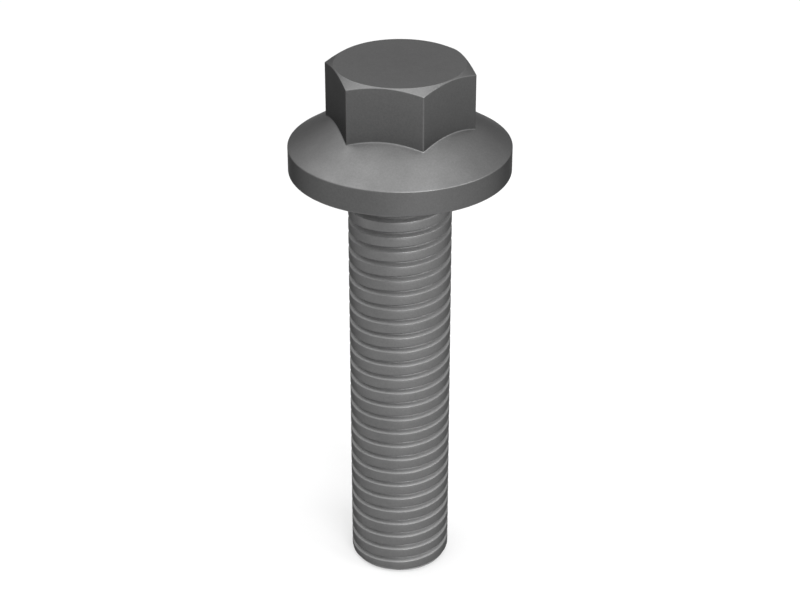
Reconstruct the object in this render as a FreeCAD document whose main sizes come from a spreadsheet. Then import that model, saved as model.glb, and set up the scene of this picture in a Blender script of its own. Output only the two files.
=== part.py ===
import FreeCAD, Part
import math
import os
import Sketcher

# A hexagon flange bolt, M8 x 1.25 x 35, fully threaded, in millimetres.
# The origin is on the axis, in the bearing face under the flange. The head is above it, towards +Z,
# the thread points down, and two flats of the hexagon face -Y and +Y.
SIZES = [
    ("thread_diameter", 8.0, "Nominal diameter, over the crests"),
    ("thread_pitch", 1.25, "Rise in one turn, right-handed"),
    ("thread_angle", 60.0, "Angle between the two flanks of the groove"),
    ("groove_depth", 0.36, "From the crests to the bottom of the groove"),
    ("groove_lead_in", 0.94, "How far below the end face the groove starts"),
    ("shank_length", 35.0, "From the bearing face to the end face"),
    ("end_chamfer", 0.3, "45 degree chamfer at the end of the thread"),
    ("neck_diameter", 7.1, "Plain neck under the head, clear of the groove"),
    ("neck_length", 1.2, "Bearing face to the lower end of the neck"),
    ("neck_fillet", 0.6, "Radius between the neck and the bearing face, wider than the thread"),
    ("flange_diameter", 17.0, "Over the rim"),
    ("rim_height", 2.0, "Upright part of the flange's edge, before its edges are broken"),
    ("rim_bevel", 0.15, "Broken edge along the top and the bottom of the rim"),
    ("flange_slope", 32.5, "Slope of the flange's top, from level"),
    ("across_flats", 10.0, "Wrench size of the hexagon"),
    ("head_height", 8.5, "Bearing face to the top of the head"),
    ("top_diameter", 9.85, "Flat circle on top of the head"),
    ("top_chamfer_angle", 28.0, "Slope of the chamfer on the hexagon's corners"),
]

def make_sheet(doc):
    """Write the driving dimensions into the sheet Sizes, one row each."""
    sheet = doc.addObject("Spreadsheet::Sheet", "Sizes")
    for row, (alias, value, note) in enumerate(SIZES, start=1):
        sheet.set(f"A{row}", alias)
        sheet.set(f"B{row}", str(value))
        sheet.set(f"C{row}", note)
        sheet.setAlias(f"B{row}", alias)
    doc.recompute()
    return sheet


def origin_plane(body, role):
    """The body's own origin plane with this role, such as XZ_Plane."""
    return next(item for item in body.Origin.OriginFeatures if item.Role == role)


def new_sketch(body, name, role):
    """An empty sketch on one of the body's origin planes."""
    sketch = body.newObject("Sketcher::SketchObject", name)
    sketch.AttachmentSupport = [(origin_plane(body, role), "")]
    sketch.MapMode = "FlatFace"
    return sketch


def level_axis():
    """The sketch's own level axis, as a constraint names it."""
    return -1


def upright_axis():
    """The sketch's own upright axis, as a constraint names it."""
    return -2


def origin_point():
    """The sketch's own origin, as the pair of numbers that a constraint takes."""
    return -1, 1


def start_point(line):
    """The point where this line starts."""
    return line, 1


def end_point(line):
    """The point where this line ends."""
    return line, 2


def centre_point(circle):
    """The middle of this circle."""
    return circle, 3


def close_loop(sketch, points):
    """Join the points with straight lines, the last back to the first."""
    count = len(points)
    for index in range(count):
        sketch.addGeometry(Part.LineSegment(points[index], points[(index + 1) % count]), False)
    for index in range(count):
        following = (index + 1) % count
        joint = Sketcher.Constraint("Coincident", *end_point(index), *start_point(following))
        sketch.addConstraint(joint)


def hold_corner(sketch, index, direction, axis, formula):
    """Keep a corner on an axis, or at the formula's distance from the sketch's origin."""
    corner = start_point(index)
    if formula == "0":
        sketch.addConstraint(Sketcher.Constraint("PointOnObject", *corner, axis))
        return
    value = float(sketch.evalExpression(formula))
    distance = Sketcher.Constraint(direction, *origin_point(), *corner, value)
    held = sketch.addConstraint(distance)
    sketch.setExpression(f"Constraints[{held}]", formula)


def half_section(body, name, corners):
    """A closed outline in the XZ plane. Each corner is a pair of formulas: radius and height."""
    sketch = new_sketch(body, name, "XZ_Plane")
    points = []
    for radius, height in corners:
        across = float(sketch.evalExpression(radius))
        up = float(sketch.evalExpression(height))
        points.append(FreeCAD.Vector(across, up, 0))
    close_loop(sketch, points)
    for index, (radius, height) in enumerate(corners):
        hold_corner(sketch, index, "DistanceX", upright_axis(), radius)
        hold_corner(sketch, index, "DistanceY", level_axis(), height)
    return sketch


def turn(body, kind, name, sketch):
    """Revolve a half section once around the bolt's axis, as material or as a cut."""
    feature = body.newObject(kind, name)
    feature.Profile = sketch
    feature.ReferenceAxis = (sketch, ["V_Axis"])
    feature.Angle = 360
    return feature


def rings(shape, radius, height):
    """Names of the circular edges around the axis with this radius and height."""
    found = []
    for number, edge in enumerate(shape.Edges, start=1):
        curve = edge.Curve
        if curve.TypeId != "Part::GeomCircle":
            continue
        same_radius = abs(curve.Radius - radius) < 1e-4
        same_height = abs(curve.Center.z - height) < 1e-4
        if same_radius and same_height:
            found.append(f"Edge{number}")
    return found


def add_blank(body):
    """The turned form: flange with its sloping top, neck, shank and chamfered end."""
    thread_radius = "Sizes.thread_diameter / 2"
    end_radius = f"{thread_radius} - Sizes.end_chamfer"
    neck_radius = "Sizes.neck_diameter / 2"
    shoulder = f"-Sizes.neck_length - ({thread_radius} - {neck_radius})"
    flange_radius = "Sizes.flange_diameter / 2"
    bevel = "min(Sizes.rim_bevel; Sizes.rim_height * 0.45)"
    bevel_radius = f"{flange_radius} - {bevel}"
    slope_end = "0.4 * Sizes.across_flats"
    steepness = "tan(Sizes.flange_slope * 1 deg)"
    slope_start = f"Sizes.rim_height + {bevel} * {steepness}"
    slope_top = f"Sizes.rim_height + ({flange_radius} - {slope_end}) * {steepness}"
    corners = [
        ("0", "-Sizes.shank_length"),
        (end_radius, "-Sizes.shank_length"),
        (thread_radius, "-Sizes.shank_length + Sizes.end_chamfer"),
        (thread_radius, shoulder),
        (neck_radius, "-Sizes.neck_length"),
        (neck_radius, "0"),
        (bevel_radius, "0"),
        (flange_radius, bevel),
        (flange_radius, f"Sizes.rim_height - {bevel}"),
        (bevel_radius, slope_start),
        (slope_end, slope_top),
        ("0", slope_top),
    ]
    sketch = half_section(body, "BlankSection", corners)
    return turn(body, "PartDesign::Revolution", "Blank", sketch)


def add_neck_fillet(body, blank, sheet):
    """The fillet where the neck runs into the bearing face."""
    fillet = body.newObject("PartDesign::Fillet", "NeckFillet")
    fillet.Base = (blank, rings(blank.Shape, sheet.neck_diameter / 2, 0))
    fillet.setExpression("Radius", "min(Sizes.neck_fillet; Sizes.neck_length * 0.9)")
    return fillet


def add_hexagon(body, sheet):
    """The six-sided head, which meets the flange's slope in six arched edges."""
    sketch = new_sketch(body, "HexagonSketch", "XY_Plane")
    corner_radius = sheet.across_flats / math.sqrt(3)
    points = []
    for index in range(6):
        angle = math.radians(60 * index)
        direction = FreeCAD.Vector(math.cos(angle), math.sin(angle), 0)
        points.append(direction * corner_radius)
    close_loop(sketch, points)
    circle = Part.Circle(FreeCAD.Vector(0, 0, 0), FreeCAD.Vector(0, 0, 1), corner_radius)
    around = sketch.addGeometry(circle, True)
    middle = Sketcher.Constraint("Coincident", *centre_point(around), *origin_point())
    sketch.addConstraint(middle)
    for index in range(6):
        sketch.addConstraint(Sketcher.Constraint("PointOnObject", *start_point(index), around))
    for index in range(1, 6):
        sketch.addConstraint(Sketcher.Constraint("Equal", 0, index))
    sketch.addConstraint(Sketcher.Constraint("PointOnObject", *start_point(0), level_axis()))
    lower = start_point(4)
    upper = start_point(2)
    wrench = Sketcher.Constraint("DistanceY", *lower, *upper, sheet.across_flats)
    held = sketch.addConstraint(wrench)
    sketch.setExpression(f"Constraints[{held}]", "Sizes.across_flats")
    pad = body.newObject("PartDesign::Pad", "Hexagon")
    pad.Profile = sketch
    pad.setExpression("Length", "Sizes.head_height")
    return pad


def add_top_chamfer(body):
    """The turned chamfer that takes the six corners off the top of the head."""
    inside = "Sizes.top_diameter / 2"
    outside = "0.65 * Sizes.across_flats"
    drop = f"({outside} - {inside}) * tan(Sizes.top_chamfer_angle * 1 deg)"
    corners = [
        (inside, "Sizes.head_height"),
        (outside, f"Sizes.head_height - {drop}"),
        (outside, "Sizes.head_height"),
    ]
    sketch = half_section(body, "TopChamferSection", corners)
    return turn(body, "PartDesign::Groove", "TopChamfer", sketch)


def add_thread(body):
    """A V groove on a right-hand helix, from below the end face out into the neck."""
    start = "-Sizes.shank_length - Sizes.groove_lead_in"
    root_radius = "Sizes.thread_diameter / 2 - Sizes.groove_depth"
    past_crest = "Sizes.thread_pitch / 16"
    open_radius = f"Sizes.thread_diameter / 2 + {past_crest}"
    half_width = f"(Sizes.groove_depth + {past_crest}) * tan(Sizes.thread_angle * 0.5 deg)"
    corners = [
        (root_radius, start),
        (open_radius, f"{start} - {half_width}"),
        (open_radius, f"{start} + {half_width}"),
    ]
    sketch = half_section(body, "GrooveSection", corners)
    helix = body.newObject("PartDesign::SubtractiveHelix", "ThreadGroove")
    helix.Profile = sketch
    helix.ReferenceAxis = (sketch, ["V_Axis"])
    helix.Mode = "pitch-height-angle"
    helix.LeftHanded = False
    helix.setExpression("Pitch", "Sizes.thread_pitch")
    climb = "Sizes.shank_length + Sizes.groove_lead_in - Sizes.neck_length"
    helix.setExpression("Height", f"{climb} + {half_width}")
    return helix


def build():
    """Make the document and return its one body."""
    doc = FreeCAD.newDocument("flange_bolt")
    sheet = make_sheet(doc)
    body = doc.addObject("PartDesign::Body", "FlangeBolt")
    body.Label = "flange_bolt"
    blank = add_blank(body)
    doc.recompute()
    add_neck_fillet(body, blank, sheet)
    doc.recompute()
    solid = body.Shape.Volume
    add_hexagon(body, sheet)
    doc.recompute()
    with_hexagon = body.Shape.Volume
    add_top_chamfer(body)
    doc.recompute()
    chamfered = body.Shape.Volume
    add_thread(body)
    doc.recompute()
    threaded = body.Shape.Volume
    if not solid < with_hexagon > chamfered > threaded:
        raise RuntimeError("a feature added or cut nothing")
    return body


def check(body):
    """Stop if anything in the document failed, or the body isn't one sound solid."""
    for item in body.Document.Objects:
        if "Invalid" in item.State or "Error" in item.State:
            raise RuntimeError(f"{item.Name} failed: {item.State}")
    shape = body.Shape
    if shape.isNull() or not shape.isValid() or len(shape.Solids) != 1:
        raise RuntimeError(f"{body.Label} isn't one valid solid")


def export(body):
    """Write the body to its own file, named by its label."""
    os.makedirs("parts", exist_ok=True)
    body.Shape.exportStep(f"parts/{body.Label}.step")
    print(f"{body.Label}: {body.Shape.Volume:.1f} mm3, {len(body.Shape.Faces)} faces")


bolt = build()
check(bolt)
export(bolt)
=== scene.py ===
import math

import bmesh
import bpy
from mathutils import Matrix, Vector


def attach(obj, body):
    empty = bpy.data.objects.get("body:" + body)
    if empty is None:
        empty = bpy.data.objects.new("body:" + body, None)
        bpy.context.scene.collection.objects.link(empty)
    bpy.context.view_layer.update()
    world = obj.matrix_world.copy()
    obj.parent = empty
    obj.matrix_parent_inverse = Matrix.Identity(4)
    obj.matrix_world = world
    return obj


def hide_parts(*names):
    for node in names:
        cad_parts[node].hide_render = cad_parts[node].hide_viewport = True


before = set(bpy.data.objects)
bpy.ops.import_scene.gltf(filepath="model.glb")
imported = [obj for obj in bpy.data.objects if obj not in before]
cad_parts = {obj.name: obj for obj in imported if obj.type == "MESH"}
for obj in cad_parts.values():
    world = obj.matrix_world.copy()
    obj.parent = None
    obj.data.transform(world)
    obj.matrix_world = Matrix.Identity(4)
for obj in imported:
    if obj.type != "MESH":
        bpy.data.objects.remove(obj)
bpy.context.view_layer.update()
scene = bpy.context.scene
mm = 0.001  # the sizes below are in millimetres, the scene is in metres

# The bolt's sizes, the same as the solid's, with its edges eased as forging and rolling leave them.
# Slopes and the flank's angle are in degrees from level. Wear and painted shade run from 0 to 1.
bolt = {
    "crestRadius": 4.0,  # M8
    "pitch": 1.25,  # rise in one turn, right-handed
    "firstCrest": -2.815,  # height of a crest's middle on the +X side
    "flankAngle": 30.0,
    "threadDepth": 0.36,  # crest to root
    "rootRounding": 0.05,
    "crestRounding": 0.06,
    "upperCrestWear": 0.05,
    "lowerCrestWearAndLight": 0.25,  # wear, and painted light that lifts the shade on this down-facing edge
    "endHeight": -35.0,
    "endChamfer": 0.3,
    "neckRadius": 3.55,  # the rolled blank
    "neckEnd": -1.2,  # a 45 degree shoulder leads from here to the crests
    "neckFillet": 0.6,
    "runOut": 0.12,  # over which the groove eases into the end chamfer and the shoulder
    "rimRadius": 8.5,
    "rimHeight": 2.0,
    "rimRounding": 0.1,
    "rimWear": 0.3,
    "coneSlope": 32.5,
    "apothem": 5.0,  # half of the wrench size
    "cornerRounding": 0.1,  # the hexagon's upright corners
    "cornerWear": 0.25,
    "cornerWearReach": 1.4,  # degrees round from a corner
    "footRounding": 0.12,  # where the hexagon meets the cone
    "headHeight": 8.5,
    "topRadius": 4.925,
    "topSlope": 28.0,
    "topRounding": 0.06,
    "topWear": 0.8,
    "archWear": 0.6,  # the arched edges where the hexagon's walls meet the head chamfer
    "shadeAtFoot": 0.72,  # painted shade on the hexagon's walls, at the cone and at the top
    "shadeAtTop": 0.65,
    # painted shade on the rim and on the end
    "shadeOnRim": 0.53,
    "shadeOnEnd": 1.0,
    "shadeUpEnd": 0.9,  # how far up the end chamfer it reaches, as a share of it
    "creaseAngle": 42,  # degrees, an edge that turns more stays sharp
}

halfSector = math.radians(30)  # from a corner of the hexagon to the middle of a flat
innerRing = 0.5  # radius of the last ring of points before the middle of the end and of the top
sameSurface = 0.001  # a point this near to the wall's or the rim's radius lies on it
mergeSteps = 5000  # in a millimetre, points that round to the same step are one


def fromCorner(angle):
    # how far this direction is from the hexagon's nearest corner, the first one being on +X
    return abs((angle + halfSector) % (2 * halfSector) - halfSector)


def hexRadius(angle):
    # from the axis to the hexagon's wall in this direction
    offset = fromCorner(angle)
    rounding = bolt["cornerRounding"]
    centre = (bolt["apothem"] - rounding) / math.cos(halfSector)
    tangent = math.atan2(rounding * math.sin(halfSector), centre + rounding * math.cos(halfSector))
    if offset >= tangent:
        return bolt["apothem"] / math.cos(halfSector - offset)
    across = centre * math.sin(offset)
    return centre * math.cos(offset) + math.sqrt(rounding ** 2 - across ** 2)


def columnAngles():
    # close together at the hexagon's corners, even along its flats
    sector = 60  # degrees
    nearCorner = [0, 0.25, 0.5, 1.2]
    flatSteps = 28
    spread = sector - 2 * nearCorner[-1]
    offsets = nearCorner + [nearCorner[-1] + spread * step / flatSteps for step in range(1, flatSteps)]
    offsets += [sector - offset for offset in reversed(nearCorner[1:])]
    return [math.radians(sector * side + offset) for side in range(6) for offset in offsets]


def threadBreaks():
    # along the axis from a crest's middle: where the crest's edge starts to round, and the flank's two ends
    lean = math.radians(bolt["flankAngle"])
    flankFoot = bolt["pitch"] / 2 - bolt["rootRounding"] * math.cos(lean)
    footDepth = bolt["threadDepth"] - bolt["rootRounding"] * (1 - math.sin(lean))
    topDepth = bolt["crestRounding"] * (1 - math.sin(lean))
    flankTop = flankFoot - (footDepth - topDepth) * math.tan(lean)
    return flankTop - bolt["crestRounding"] * math.cos(lean), flankTop, flankFoot


def profileRadius(along):
    # the thread's outline: distance from the axis, this far along the axis from a crest's middle
    lean = math.radians(bolt["flankAngle"])
    crestEdge, flankTop, flankFoot = threadBreaks()
    fromMiddle = abs(along)
    if fromMiddle < crestEdge:
        return bolt["crestRadius"]
    if fromMiddle < flankTop:
        rounding = bolt["crestRounding"]
        return bolt["crestRadius"] - rounding + math.sqrt(rounding ** 2 - (fromMiddle - crestEdge) ** 2)
    rounding = bolt["rootRounding"]
    rootMiddle = bolt["crestRadius"] - bolt["threadDepth"] + rounding
    if fromMiddle < flankFoot:
        footRadius = rootMiddle - rounding * math.sin(lean)
        return footRadius + (flankFoot - fromMiddle) / math.tan(lean)
    return rootMiddle - math.sqrt(rounding ** 2 - (bolt["pitch"] / 2 - fromMiddle) ** 2)


def blendLow(first, second, width):
    # the lower of two values, eased over this width
    share = max(width - abs(first - second), 0) / width
    return min(first, second) - share * share * width / 4


def threadRadius(angle, height):
    # the thread between its chamfered end and its run-out under the head
    rise = bolt["pitch"] * angle / (2 * math.pi)
    along = (height - bolt["firstCrest"] - rise) % bolt["pitch"]
    if along > bolt["pitch"] / 2:
        along -= bolt["pitch"]
    chamfer = bolt["crestRadius"] - bolt["endChamfer"] + (height - bolt["endHeight"])
    radius = blendLow(profileRadius(along), chamfer, bolt["runOut"])
    belowNeck = bolt["neckEnd"] - height
    shoulder = bolt["neckRadius"] + belowNeck
    return blendLow(radius, shoulder, bolt["runOut"]) if belowNeck > bolt["runOut"] / 2 else shoulder


def threadSteps():
    # where the rows of points run within one pitch, upwards from a crest's middle, and how rubbed each is
    onCrest, onEdge, onFlank = [0.3], [0, 0.55, 1], [0.5, 1]  # shares of each stretch
    crestEdge, flankTop, flankFoot = threadBreaks()
    crest = [crestEdge * share for share in onCrest]
    edge = [crestEdge + (flankTop - crestEdge) * share for share in onEdge]
    flank = [flankTop + (flankFoot - flankTop) * share for share in onFlank]
    half = crest + edge + flank
    rise = [(step, bolt["upperCrestWear"] if step in edge else 0) for step in half]
    # the lower crest edges carry painted light against their shade, on top of wear
    back = [(bolt["pitch"] - step, bolt["lowerCrestWearAndLight"] if step in edge else 0) for step in reversed(half)]
    return rise + [(bolt["pitch"] / 2, 0)] + back


def roundedProfile(corners):
    # Corners are (radius, height, rounding, wear). Each between the two ends becomes an arc, with a point
    # close by on both sides that keeps the shading of the faces flat.
    arcSteps = 4
    support = 0.06  # from the arc's ends to those points
    roomShare = 0.4  # of the shorter stretch beside a corner for its arc, and of that for a support
    supportWear = 0.3  # of the corner's wear
    points = [(corners[0][0], corners[0][1], 0.0)]
    for before, corner, after in zip(corners, corners[1:], corners[2:]):
        rounding, wear = corner[2:]
        here = Vector(corner[:2])
        back, ahead = Vector(before[:2]) - here, Vector(after[:2]) - here
        turn = math.pi - back.angle(ahead)
        room = min(back.length, ahead.length) * roomShare
        reach = min(rounding * math.tan(turn / 2), room)
        radius = reach / math.tan(turn / 2)
        start, end = here + back.normalized() * reach, here + ahead.normalized() * reach
        middle = here + (back.normalized() + ahead.normalized()).normalized() * (radius / math.cos(turn / 2))
        extra = min(support, room * roomShare)
        points.append((*(start + back.normalized() * extra), wear * supportWear))
        for step in range(arcSteps + 1):
            chord = start.lerp(end, step / arcSteps) - middle
            points.append((*(middle + chord.normalized() * radius), wear))
        points.append((*(end + ahead.normalized() * extra), wear * supportWear))
    points.append((corners[-1][0], corners[-1][1], 0.0))
    return points


def headProfile(angle):
    # from the neck, round the flange and over the hexagon to the top, at this column
    wall = hexRadius(angle)
    foot = bolt["rimHeight"] + (bolt["rimRadius"] - wall) * math.tan(math.radians(bolt["coneSlope"]))
    arch = bolt["headHeight"] - (wall - bolt["topRadius"]) * math.tan(math.radians(bolt["topSlope"]))
    corners = [
        (bolt["neckRadius"], bolt["neckEnd"], 0, 0),
        (bolt["neckRadius"], 0, bolt["neckFillet"], 0),
        (bolt["rimRadius"], 0, bolt["rimRounding"], bolt["rimWear"]),
        (bolt["rimRadius"], bolt["rimHeight"], bolt["rimRounding"], bolt["rimWear"]),
        (wall, foot, bolt["footRounding"], 0),
        (wall, arch, bolt["topRounding"], bolt["archWear"]),
        (bolt["topRadius"], bolt["headHeight"], bolt["topRounding"], bolt["topWear"]),
        (innerRing, bolt["headHeight"], 0, 0),
    ]
    points = roundedProfile(corners)

    # more rows on the long stretches: neck, bearing face, rim, cone, wall, chamfer and top
    addedRows = [0, 3, 2, 4, 5, 0, 4]
    cornerPoints = (len(points) - 2) // (len(corners) - 2)
    filled = []
    for index, (point, following) in enumerate(zip(points, points[1:])):
        filled.append(point)
        rows = addedRows[index // cornerPoints] if index % cornerPoints == 0 else 0
        for row in range(1, rows + 1):
            share = row / (rows + 1)
            filled.append(tuple(a + (b - a) * share for a, b in zip(point, following)))
    filled.append(points[-1])

    cornerWear = max(1 - fromCorner(angle) / math.radians(bolt["cornerWearReach"]), 0) * bolt["cornerWear"]
    profile = []
    for radius, height, wear in filled:
        # painted shade: the hexagon's walls darker, most at the foot, and the rim darker
        paintedShade = 0
        if abs(radius - wall) < sameSurface:
            wear = max(wear, cornerWear)
            upWall = (height - foot) / (arch - foot)
            paintedShade = bolt["shadeAtFoot"] + (bolt["shadeAtTop"] - bolt["shadeAtFoot"]) * upWall
        elif abs(radius - bolt["rimRadius"]) < sameSurface:
            paintedShade = bolt["shadeOnRim"]
        profile.append((radius, height, wear, 0, paintedShade))
    return profile


def makeBolt():
    angles = columnAngles()
    columns = len(angles)
    points, wears, depths, paintedShades, faces, known = [], [], [], [], [], {}

    def store(place, wear, depth, paintedShade):
        points.append(place)
        wears.append(wear)
        depths.append(depth)
        paintedShades.append(paintedShade)
        return len(points) - 1

    def addPoint(column, radius, height, wear, depth, paintedShade):
        key = (column, round(radius * mergeSteps), round(height * mergeSteps))
        if key not in known:
            angle = angles[column]
            place = (radius * math.cos(angle) * mm, radius * math.sin(angle) * mm, height * mm)
            known[key] = store(place, wear, depth, paintedShade)
        return known[key]

    def addFace(*corners):
        kept = [corner for index, corner in enumerate(corners) if corner != corners[index - 1]]
        if len(set(kept)) >= 3:
            faces.append(kept)

    # the thread: rows climb with the helix and are held at the end face and the neck
    steps = threadSteps()
    turnsDown = math.ceil((bolt["firstCrest"] - bolt["endHeight"]) / bolt["pitch"] + 1)
    lowest = bolt["firstCrest"] - bolt["pitch"] * turnsDown
    turns = math.ceil((bolt["neckEnd"] - lowest) / bolt["pitch"])
    shadeTop = bolt["endHeight"] + bolt["shadeUpEnd"] * bolt["endChamfer"]

    def threadPoint(row, column):
        turn, step = divmod(row, len(steps))
        angle = angles[column]
        height = lowest + bolt["pitch"] * (turn + angle / (2 * math.pi)) + steps[step][0]
        held = min(max(height, bolt["endHeight"]), bolt["neckEnd"])
        radius = threadRadius(angle, held)
        depth = (bolt["crestRadius"] - radius) / bolt["threadDepth"]
        wear = steps[step][1] if held == height else 0
        # painted shade on the end chamfer
        paintedShade = bolt["shadeOnEnd"] if held < shadeTop else 0
        return addPoint(column, radius, held, wear, depth, paintedShade)

    for row in range(turns * len(steps)):
        for column in range(columns):
            following = (column + 1) % columns
            shift = len(steps) if following == 0 else 0  # the last column joins the first a turn higher
            addFace(threadPoint(row, column), threadPoint(row + shift, following),
                    threadPoint(row + 1 + shift, following), threadPoint(row + 1, column))

    # the end face, from its edge to the middle, with painted shade
    endHeight, endShade = bolt["endHeight"], bolt["shadeOnEnd"]
    endRings = [3.1, 2.2, 1.2, innerRing]
    edge = [threadPoint(0, column) for column in range(columns)]
    for radius in endRings:
        ring = [addPoint(column, radius, endHeight, 0, 0, endShade) for column in range(columns)]
        for column in range(columns):
            addFace(edge[column - 1], ring[column - 1], ring[column], edge[column])
        edge = ring
    endMiddle = store((0, 0, endHeight * mm), 0, 0, 0)
    for column in range(columns):
        addFace(edge[column - 1], endMiddle, edge[column])

    # the head
    outlines = [headProfile(angle) for angle in angles]
    before = None
    for row in range(len(outlines[0])):
        ring = [addPoint(column, *outlines[column][row]) for column in range(columns)]
        if before:
            for column in range(columns):
                addFace(before[column - 1], before[column], ring[column], ring[column - 1])
        before = ring
    topMiddle = store((0, 0, bolt["headHeight"] * mm), 0, 0, 0)
    for column in range(columns):
        addFace(before[column - 1], before[column], topMiddle)

    mesh = bpy.data.meshes.new("hexFlangeBolt")
    mesh.from_pydata(points, [], faces)
    # the points' edge wear, with painted light on the thread's lower crest edges, their depth in the groove,
    # and their share of painted shade
    for name, values in (("edgeWearAndLight", wears), ("grooveDepth", depths), ("paintedShadeShare", paintedShades)):
        mesh.attributes.new(name, "FLOAT", "POINT").data.foreach_set("value", values)
    skin = bmesh.new()
    skin.from_mesh(mesh)
    bmesh.ops.recalc_face_normals(skin, faces=skin.faces)
    openEdges = sum(1 for line in skin.edges if not line.is_manifold)
    skin.to_mesh(mesh)
    skin.free()
    mesh.shade_smooth()
    mesh.set_sharp_from_angle(angle=math.radians(bolt["creaseAngle"]))
    mesh.calc_loop_triangles()
    print(f"bolt: {len(mesh.vertices)} points, {len(mesh.loop_triangles)} triangles, {openEdges} open edges")
    piece = bpy.data.objects.new("hexFlangeBolt", mesh)
    scene.collection.objects.link(piece)
    return piece


def linear(hexColour):
    # sRGB hex to the linear values that the shaders take
    channels = [int(hexColour[index:index + 2], 16) / 255 for index in (1, 3, 5)]
    return [c / 12.92 if c <= 0.04045 else ((c + 0.055) / 1.055) ** 2.4 for c in channels] + [1]


def addNode(tree, kind, settings=None, values=None, links=None):
    # a node with its settings, its sockets' values, and links from other nodes' outputs
    node = tree.nodes.new(kind)
    for name, value in (settings or {}).items():
        setattr(node, name, value)
    for socket, value in (values or {}).items():
        node.inputs[socket].default_value = value
    for socket, output in (links or {}).items():
        tree.links.new(output, node.inputs[socket])
    return node


# Carbon steel, cold-forged, its thread rolled, then left with a thin dark oiled finish.
# To the eye: a satin dark grey with a fine grain. Painted shade darkens the head's upright walls, the rim
# and the end, a painted highlight brightens the thread's flanks, and edges are faintly rubbed, with painted
# light on the thread's lower crest edges.
steel = {
    "plain": "#696969",
    "cloud": "#626262",  # wide soft patches where the finish is darker
    "paintedShade": "#3C3C3C",  # painted shade on the upright walls, the rim and the end
    "rubbedAndLight": "#707070",  # worn edges and corners, and painted light on the thread's lower crest edges
    "flank": "#858585",  # painted highlight on the thread's flanks, and painted light lifting the shade in the roots
    "edgeTint": "#8C8C8C",  # the dark finish reflects less at a flat angle than bare steel
    "highlightFull": 0.13,  # the painted highlight comes in over this share of the groove's depth
    "highlightThinsFrom": 0.3,  # below this share of the depth the painted highlight thins
    "highlightInRoot": 0.45,  # and this much is left in the root, as painted light against its shadow
    "roughness": 0.45,
    "rubbedRoughness": 0.41,
    "flankRoughness": 0.62,
    "unevenness": 0.03,  # of the roughness, up and down
    "grainSize": 0.14,  # mm, real forging grain is about 0.02: drawn coarser, to show at all
    "grainContrast": 0.07,  # of the colour, up and down
    "grainDepth": 0.006,  # mm
    "cloudSize": 2.4,  # mm
}

mixedColour = 2  # which output of a Mix node holds the colour


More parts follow.
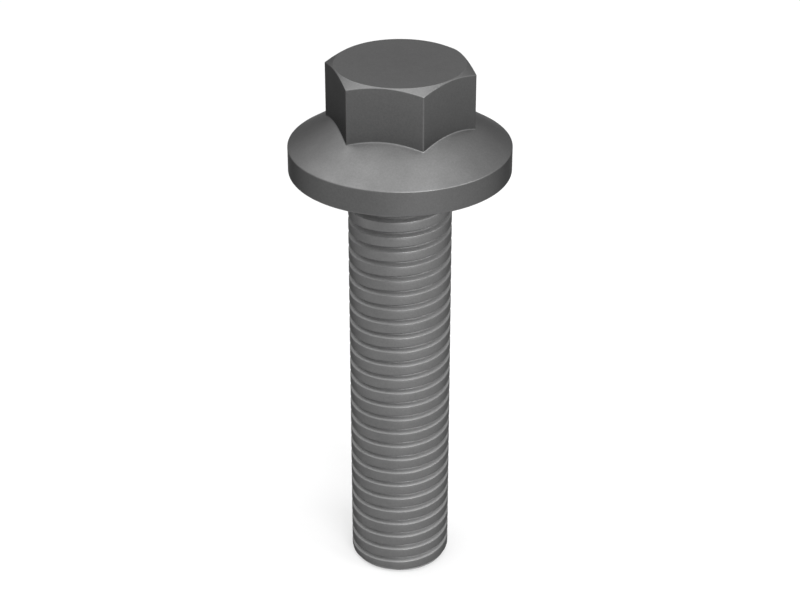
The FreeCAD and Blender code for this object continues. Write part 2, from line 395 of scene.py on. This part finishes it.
def makeSteel():
    material = bpy.data.materials.new("coldForgedSteelDarkSatin")
    material.use_nodes = True
    tree = material.node_tree
    tree.nodes.clear()

    # the patterns, and what the mesh's points carry
    place = addNode(tree, "ShaderNodeTexCoord").outputs["Object"]
    millimetres = addNode(tree, "ShaderNodeVectorMath", {"operation": "SCALE"}, {"Scale": 1 / mm},
                          {"Vector": place}).outputs["Vector"]
    grain = addNode(tree, "ShaderNodeTexNoise", {},
                    {"Scale": 1 / steel["grainSize"], "Detail": 3, "Roughness": 0.6},
                    {"Vector": millimetres}).outputs["Fac"]
    cloud = addNode(tree, "ShaderNodeTexNoise", {},
                    {"Scale": 1 / steel["cloudSize"], "Detail": 4, "Roughness": 0.55},
                    {"Vector": millimetres}).outputs["Fac"]
    # edge wear with painted light on the thread's lower crest edges, the groove's depth, and the share of
    # painted shade
    wear = addNode(tree, "ShaderNodeAttribute", {"attribute_name": "edgeWearAndLight"}).outputs["Fac"]
    depth = addNode(tree, "ShaderNodeAttribute", {"attribute_name": "grooveDepth"}).outputs["Fac"]
    paintedShade = addNode(tree, "ShaderNodeAttribute", {"attribute_name": "paintedShadeShare"}).outputs["Fac"]

    # clouded finish, with painted shade over the upright walls, the rim and the end
    cloudShare = addNode(tree, "ShaderNodeMapRange", {}, {"From Min": 0.35, "From Max": 0.7},
                         {"Value": cloud})
    bare = addNode(tree, "ShaderNodeMix", {"data_type": "RGBA"},
                   {"A": linear(steel["plain"]), "B": linear(steel["cloud"])},
                   {"Factor": cloudShare.outputs["Result"]})
    finish = addNode(tree, "ShaderNodeMix", {"data_type": "RGBA"}, {"B": linear(steel["paintedShade"])},
                     {"Factor": paintedShade, "A": bare.outputs[mixedColour]})

    # painted highlight on the thread's flanks, thinner towards the root, where it lifts the shadow
    intoGroove = addNode(tree, "ShaderNodeMapRange", {"interpolation_type": "SMOOTHSTEP"},
                         {"From Min": 0.0, "From Max": steel["highlightFull"]}, {"Value": depth})
    highlightTowardsRoot = addNode(tree, "ShaderNodeMapRange", {"interpolation_type": "SMOOTHSTEP"},
                        {"From Min": steel["highlightThinsFrom"], "From Max": 1.0,
                         "To Min": 1.0, "To Max": steel["highlightInRoot"]},
                        {"Value": depth})
    onFlank = addNode(tree, "ShaderNodeMath", {"operation": "MULTIPLY"}, {},
                      {0: intoGroove.outputs["Result"], 1: highlightTowardsRoot.outputs["Result"]})
    withFlankHighlight = addNode(tree, "ShaderNodeMix", {"data_type": "RGBA"}, {"B": linear(steel["flank"])},
                        {"Factor": onFlank.outputs[0], "A": finish.outputs[mixedColour]})

    # rubbed edges, in patches, with painted light on the thread's lower crest edges, and the grain over
    # everything
    patchy = addNode(tree, "ShaderNodeMapRange", {},
                     {"From Min": 0.3, "From Max": 0.75, "To Min": 0.5, "To Max": 1.1},
                     {"Value": cloud})
    rubbedAndLitShare = addNode(tree, "ShaderNodeMath", {"operation": "MULTIPLY", "use_clamp": True}, {},
                          {0: wear, 1: patchy.outputs["Result"]})
    colour = addNode(tree, "ShaderNodeMix", {"data_type": "RGBA"}, {"B": linear(steel["rubbedAndLight"])},
                     {"Factor": rubbedAndLitShare.outputs[0], "A": withFlankHighlight.outputs[mixedColour]})
    speckle = addNode(tree, "ShaderNodeMapRange", {},
                      {"From Min": 0.3, "From Max": 0.7,
                       "To Min": 1 - steel["grainContrast"], "To Max": 1 + steel["grainContrast"]},
                      {"Value": grain})
    speckled = addNode(tree, "ShaderNodeVectorMath", {"operation": "SCALE"}, {},
                       {"Vector": colour.outputs[mixedColour], "Scale": speckle.outputs["Result"]})

    # roughness of each, a little uneven
    gloss = addNode(tree, "ShaderNodeMapRange", {},
                    {"To Min": steel["roughness"], "To Max": steel["rubbedRoughness"]},
                    {"Value": rubbedAndLitShare.outputs[0]})
    threadGloss = addNode(tree, "ShaderNodeMapRange", {}, {"To Max": steel["flankRoughness"]},
                          {"Value": onFlank.outputs[0], "To Min": gloss.outputs["Result"]})
    uneven = addNode(tree, "ShaderNodeMapRange", {},
                     {"From Min": 0.3, "From Max": 0.7,
                      "To Min": -steel["unevenness"], "To Max": steel["unevenness"]},
                     {"Value": cloud})
    roughness = addNode(tree, "ShaderNodeMath", {"operation": "ADD"}, {},
                        {0: threadGloss.outputs["Result"], 1: uneven.outputs["Result"]})

    relief = addNode(tree, "ShaderNodeBump", {}, {"Strength": 0.5, "Distance": steel["grainDepth"] * mm},
                     {"Height": grain})
    shader = addNode(tree, "ShaderNodeBsdfPrincipled", {},
                     {"Metallic": 1.0, "Specular Tint": linear(steel["edgeTint"])},
                     {"Base Color": speckled.outputs["Vector"], "Roughness": roughness.outputs[0],
                      "Normal": relief.outputs["Normal"]})
    addNode(tree, "ShaderNodeOutputMaterial", {}, {}, {"Surface": shader.outputs["BSDF"]})
    return material


piece = makeBolt()
piece.data.materials.append(makeSteel())
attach(piece, "root")
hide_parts("flange_bolt")
print("steel bolt made")

# The photograph's view: 28.7 degrees from above, turned 12.8 degrees from the hexagon's front flat.
view = {
    "distance": 151.32,
    "elevation": 28.7127,
    "turn": 12.84,
    "aimHeight": -11.45,  # of the point on the axis that the camera and the lamps look at
    "lens": 86.416,
    "sensor": 36,
}


def fromAim(distance, elevation, turn):
    # a point in metres, this far from the aim
    level = distance * math.cos(math.radians(elevation))
    side, front = math.sin(math.radians(turn)), -math.cos(math.radians(turn))
    height = view["aimHeight"] + distance * math.sin(math.radians(elevation))
    return Vector((level * side, level * front, height)) * mm


def pointAtAim(thing):
    aim = Vector((0, 0, view["aimHeight"] * mm))
    thing.rotation_euler = (aim - thing.location).to_track_quat("-Z", "Y").to_euler()


def makeCamera():
    data = bpy.data.cameras.new("camera")
    data.lens = view["lens"]
    data.sensor_width = view["sensor"]
    data.clip_start = 10 * mm
    camera = bpy.data.objects.new("camera", data)
    scene.collection.objects.link(camera)
    camera.location = fromAim(view["distance"], view["elevation"], view["turn"])
    pointAtAim(camera)
    scene.camera = camera


# Softboxes, each placed by its turn from the hexagon's front flat and its elevation. The wide one overhead
# leans left and lights the cone and the chamfer. The two low ones light the walls, the rim and the thread.
lamps = {
    "ceilingSoftbox": {"turn": -70, "elevation": 82, "distance": 350, "size": 560, "radiance": 1.6},
    "frontSoftbox": {"turn": 30, "elevation": 18, "distance": 450, "size": 300, "radiance": 7.0},
    "sideSoftbox": {"turn": 80, "elevation": 20, "distance": 450, "size": 220, "radiance": 5.8},
}


def makeLamp(name, lamp):
    data = bpy.data.lights.new(name, "AREA")
    data.shape = "SQUARE"
    data.size = lamp["size"] * mm
    data.energy = lamp["radiance"] * math.pi * data.size ** 2
    light = bpy.data.objects.new(name, data)
    scene.collection.objects.link(light)
    light.location = fromAim(lamp["distance"], lamp["elevation"], lamp["turn"])
    pointAtAim(light)


# Seamless pale paper, which takes the bolt's shadow. A little glow, for the camera and reflections alone,
# brings it up to white, with more of it far off, where the softboxes' light thins out.
studio = {
    "paper": "#BEBEBE",
    "paperSize": 2400,
    "paperGap": 0.01,  # mm under the bolt, so that the two faces don't flicker
    "nearGlow": 0.37,
    "farGlow": 0.74,
    "nearEnds": 150,  # mm from the bolt
    "farStarts": 750,
    "sky": "#FFFFFF",
    "dome": 0.45,  # the plain light from all round
}


def seenRays(tree):
    # 1 for the camera, reflections and transmission, 0 for the light that falls on things
    path = addNode(tree, "ShaderNodeLightPath")
    seen = path.outputs["Is Camera Ray"]
    for name in ("Is Glossy Ray", "Is Transmission Ray"):
        seen = addNode(tree, "ShaderNodeMath", {"operation": "ADD", "use_clamp": True}, {},
                       {0: seen, 1: path.outputs[name]}).outputs[0]
    return seen


def makePaper():
    paper = bpy.data.materials.new("mattPaper")
    paper.use_nodes = True
    tree = paper.node_tree
    tree.nodes.clear()
    seen = seenRays(tree)
    place = addNode(tree, "ShaderNodeTexCoord").outputs["Object"]
    fromBolt = addNode(tree, "ShaderNodeVectorMath", {"operation": "LENGTH"}, {}, {0: place})
    reach = addNode(tree, "ShaderNodeMapRange", {"interpolation_type": "SMOOTHSTEP"},
                    {"From Min": studio["nearEnds"] * mm, "From Max": studio["farStarts"] * mm,
                     "To Min": studio["nearGlow"], "To Max": studio["farGlow"]},
                    {"Value": fromBolt.outputs["Value"]})
    glow = addNode(tree, "ShaderNodeMath", {"operation": "MULTIPLY"}, {},
                   {0: seen, 1: reach.outputs["Result"]})
    diffuse = addNode(tree, "ShaderNodeBsdfDiffuse", {}, {"Color": linear(studio["paper"])})
    emission = addNode(tree, "ShaderNodeEmission", {}, {}, {"Strength": glow.outputs[0]})
    both = addNode(tree, "ShaderNodeAddShader", {}, {}, {0: diffuse.outputs[0], 1: emission.outputs[0]})
    addNode(tree, "ShaderNodeOutputMaterial", {}, {}, {"Surface": both.outputs[0]})
    return paper


def makeFloor():
    half = studio["paperSize"] / 2 * mm
    height = (bolt["endHeight"] - studio["paperGap"]) * mm
    corners = [(x * half, y * half, height) for x, y in ((-1, -1), (1, -1), (1, 1), (-1, 1))]
    mesh = bpy.data.meshes.new("paperFloor")
    mesh.from_pydata(corners, [], [(0, 1, 2, 3)])
    mesh.materials.append(makePaper())
    floor = bpy.data.objects.new("paperFloor", mesh)
    scene.collection.objects.link(floor)


def makeWorld():
    # plain light on the bolt, and white for what the camera and reflections see
    world = bpy.data.worlds.new("studio")
    scene.world = world
    world.use_nodes = True
    tree = world.node_tree
    tree.nodes.clear()
    strength = addNode(tree, "ShaderNodeMapRange", {}, {"To Min": studio["dome"], "To Max": 1.0},
                       {"Value": seenRays(tree)})
    sky = addNode(tree, "ShaderNodeBackground", {}, {"Color": linear(studio["sky"])},
                  {"Strength": strength.outputs["Result"]})
    addNode(tree, "ShaderNodeOutputWorld", {}, {}, {"Surface": sky.outputs[0]})


makeCamera()
for name, lamp in lamps.items():
    makeLamp(name, lamp)
makeFloor()
makeWorld()
scene.view_settings.view_transform = "Standard"
print("camera, lamps and floor made")
